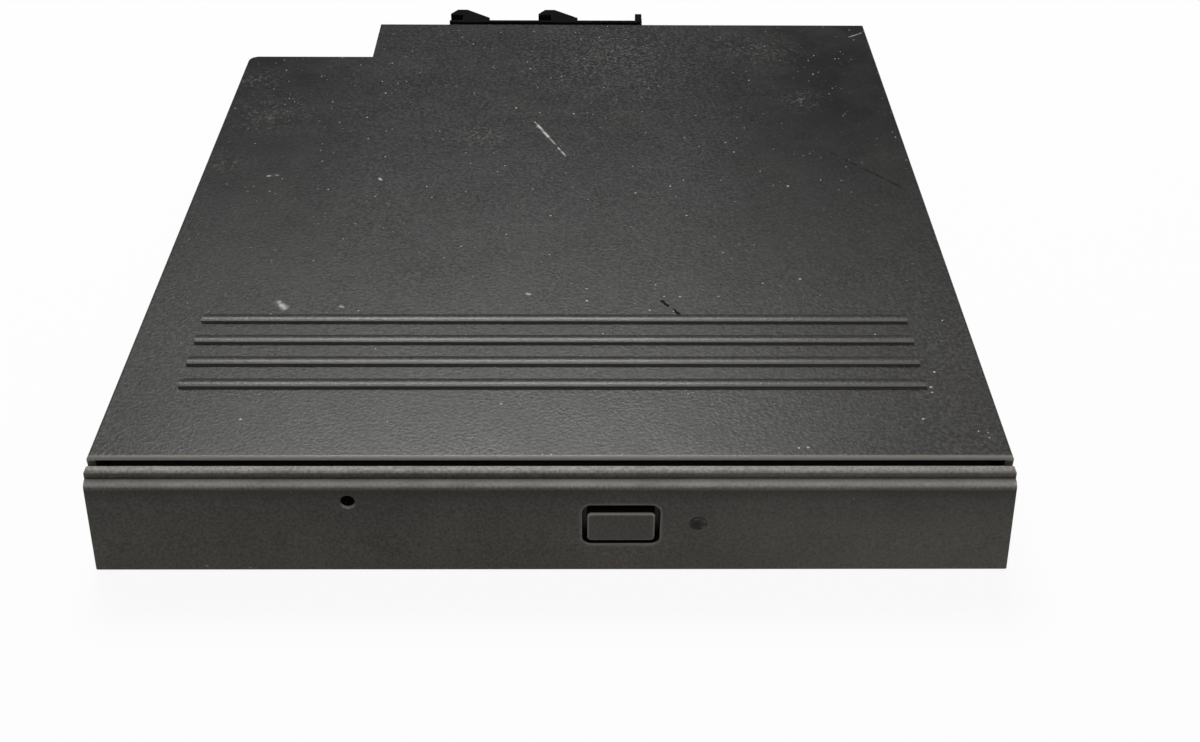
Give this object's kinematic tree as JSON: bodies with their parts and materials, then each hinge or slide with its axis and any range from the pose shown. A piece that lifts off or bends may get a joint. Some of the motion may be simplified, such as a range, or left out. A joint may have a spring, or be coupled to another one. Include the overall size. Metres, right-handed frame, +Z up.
{
  "type": "disc drive module",
  "caption": "Slim tray-loading disc drive in a plug-in bay case: sliding drawer with bezel and eject button, spindle, pickup on a lead screw, drawer latch and rear plug.",
  "frame": {"origin": "bottom centre of the whole drive's box, on the surface it lies on", "axes": "+Z up, +Y from the bezel to the rear plug, +X to the right seen from the bezel"},
  "size_m": [0.1322, 0.1552, 0.0189],
  "materials": {
    "cover_plastic": "satin dark grey moulding",
    "case_plastic": "fine-grained dark grey moulding",
    "bezel_plastic": "matt warm dark grey moulding",
    "button_plastic": "matt warm dark grey moulding",
    "tray_plastic": "matt black moulding",
    "rail_plastic": "pale low-friction moulding",
    "slide_steel": "plated rolled steel",
    "screw_steel": "plated steel",
    "rod_steel": "ground and polished steel",
    "deck_steel": "black coated steel",
    "chassis_steel": "zinc plated pressed steel",
    "motor_steel": "plated steel",
    "rotor_aluminium": "turned aluminium",
    "pickup_alloy": "die-cast alloy",
    "circuit_board": "green solder mask",
    "chip_black": "moulded epoxy",
    "socket_plastic": "ivory moulding",
    "flat_cable": "white flat cable",
    "connector_plastic": "black glass-filled moulding",
    "contact_metal": "gold-plated",
    "lever_plastic": "natural acetal",
    "claw_plastic": "black acetal",
    "damper_rubber": "soft rubber",
    "lamp_clear": "smoked light guide",
    "lens_glass": "coated objective"
  },
  "bodies": {
    "case": {"lower_case": "case_plastic", "top_cover": "cover_plastic", "case_screws": "screw_steel", "main_board": "circuit_board", "board_screws": "screw_steel", "controller_chips": "chip_black", "flex_socket": "socket_plastic", "flex_cable": "flat_cable", "rear_connector": "connector_plastic", "connector_contacts": "contact_metal", "latch_post": "screw_steel", "left_rail_guide": "rail_plastic", "right_rail_guide": "rail_plastic"},
    "slide_rails": {"left_slide_rail": "slide_steel", "right_slide_rail": "slide_steel"},
    "tray": {"tray": "tray_plastic", "front_bezel": "bezel_plastic", "eject_switch": "chip_black", "front_board": "circuit_board", "lamp": "socket_plastic", "lamp_lens": "lamp_clear", "latch_pin": "screw_steel", "latch_solenoid": "motor_steel", "deck_cover": "deck_steel", "mech_chassis": "chassis_steel", "dampers": "damper_rubber", "damper_screws": "screw_steel", "motor_base": "chassis_steel", "motor_stator": "motor_steel", "main_guide_rod": "rod_steel", "sub_guide_rod": "rod_steel", "feed_motor": "motor_steel"},
    "eject_button": {"eject_button": "button_plastic", "switch_plunger": "socket_plastic"},
    "latch_lever": {"latch_lever": "lever_plastic"},
    "spindle": {"spindle_rotor": "rotor_aluminium", "rotor_pad": "damper_rubber"},
    "claw_1": {"hub_claw_1": "claw_plastic"},
    "claw_2": {"hub_claw_2": "claw_plastic"},
    "claw_3": {"hub_claw_3": "claw_plastic"},
    "pickup": {"pickup_body": "pickup_alloy", "pickup_rack": "lever_plastic"},
    "lens": {"lens_holder": "claw_plastic", "objective_lens": "lens_glass"},
    "lead_screw": {"lead_screw": "rod_steel"}
  },
  "joints": [
    {"name": "tray_slide", "type": "slide", "parent": "case", "child": "tray", "axis": [0, -1, 0], "range_m": [0, 0.118], "deforming": ["flex_cable"]},
    {"name": "rail_slide", "type": "slide", "parent": "case", "child": "slide_rails", "axis": [0, -1, 0], "range_m": [0, 0.059]},
    {"name": "button_press", "type": "slide", "parent": "tray", "child": "eject_button", "axis": [0, 1, 0], "range_m": [0, 0.0008], "stiffness_N_per_m": 400},
    {"name": "latch_turn", "type": "hinge", "parent": "tray", "child": "latch_lever", "pos_m": [-0.016, -0.0591, 0.0036], "axis": [0, 0, 1], "range_deg": [0, 18]},
    {"name": "spindle_spin", "type": "hinge", "parent": "tray", "child": "spindle", "pos_m": [0, -0.0096, 0.0134], "axis": [0, 0, 1], "continuous": true},
    {"name": "claw_1_press", "type": "slide", "parent": "spindle", "child": "claw_1", "axis": [-0.7071, 0.7071, 0], "range_m": [0, 0.0008], "stiffness_N_per_m": 200},
    {"name": "claw_2_press", "type": "slide", "parent": "spindle", "child": "claw_2", "axis": [-0.2588, -0.9659, 0], "range_m": [0, 0.0008]},
    {"name": "claw_3_press", "type": "slide", "parent": "spindle", "child": "claw_3", "axis": [0.9659, 0.2588, 0], "range_m": [0, 0.0008]},
    {"name": "pickup_feed", "type": "slide", "parent": "tray", "child": "pickup", "axis": [0.7071, -0.7071, 0], "range_m": [0, 0.0345]},
    {"name": "lead_screw_spin", "type": "hinge", "parent": "tray", "child": "lead_screw", "pos_m": [-0.01414, -0.02374, 0.0072], "axis": [0.7071, -0.7071, 0], "range_deg": [-5, 4145]},
    {"name": "lens_focus", "type": "slide", "parent": "pickup", "child": "lens", "axis": [0, 0, 1], "range_m": [-0.0004, 0.0004], "stiffness_N_per_m": 30}
  ],
  "couplings": [
    {"joint": "rail_slide", "follows": "tray_slide", "ratio": 0.5},
    {"joint": "claw_2_press", "follows": "claw_1_press", "ratio": 1},
    {"joint": "claw_3_press", "follows": "claw_1_press", "ratio": 1},
    {"joint": "lead_screw_spin", "follows": "pickup_feed", "rad_per_m": 2094.4}
  ]
}
